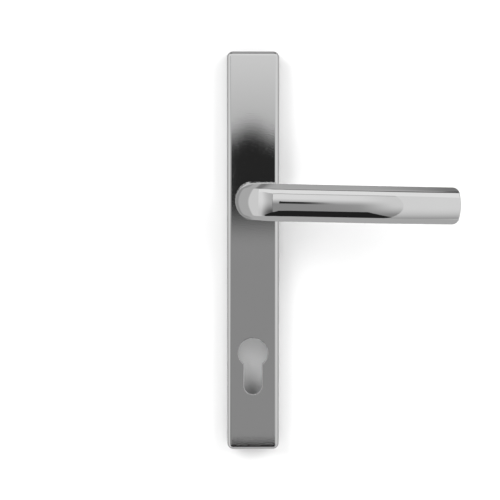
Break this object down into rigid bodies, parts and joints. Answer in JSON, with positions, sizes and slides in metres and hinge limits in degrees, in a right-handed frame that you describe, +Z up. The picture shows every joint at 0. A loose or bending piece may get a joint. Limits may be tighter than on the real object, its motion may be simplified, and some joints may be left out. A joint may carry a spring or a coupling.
{
  "type": "lever door handle on backplate",
  "caption": "Sprung lever door handle on a long narrow backplate with a euro-profile cylinder cut-out, a square spindle and rear fixing posts.",
  "frame": {"origin": "where the spindle axis meets the door face, with the lever at rest", "axes": "+X along the lever towards its tip, +Y into the door, +Z up the plate; the user stands on the -Y side"},
  "size_m": [0.1345, 0.115, 0.2402],
  "materials": {
    "plate_chrome": "polished",
    "lever_chrome": "mirror polished",
    "steel": "bright zinc plated",
    "spring_steel": "oiled spring steel",
    "nylon": "natural moulded",
    "rubber": "matt"
  },
  "bodies": {
    "plate": {"backplate": "plate_chrome", "rim_gasket": "rubber", "neck_bush": "nylon", "thrust_shim": "steel", "spring_anchor": "steel", "return_spring": "spring_steel", "spring_cover": "steel", "rear_bush": "nylon", "stop_buffer_left": "nylon", "stop_buffer_right": "nylon", "cover_screw_upper": "steel", "cover_screw_lower": "steel", "fixing_post_upper": "steel", "fixing_post_lower": "steel"},
    "lever": {"lever": "lever_chrome", "spindle": "steel", "spindle_grub_screw": "spring_steel", "spring_driver": "steel", "wave_washer": "spring_steel", "retaining_ring": "spring_steel"}
  },
  "joints": [
    {"name": "lever_turn", "type": "hinge", "parent": "plate", "child": "lever", "pos_m": [0, 0, 0], "axis": [0, -1, 0], "range_deg": [-43.8, 46.2], "stiffness_Nm_per_rad": 1.5, "springref_deg": 4.58, "deforming": ["return_spring"]}
  ]
}
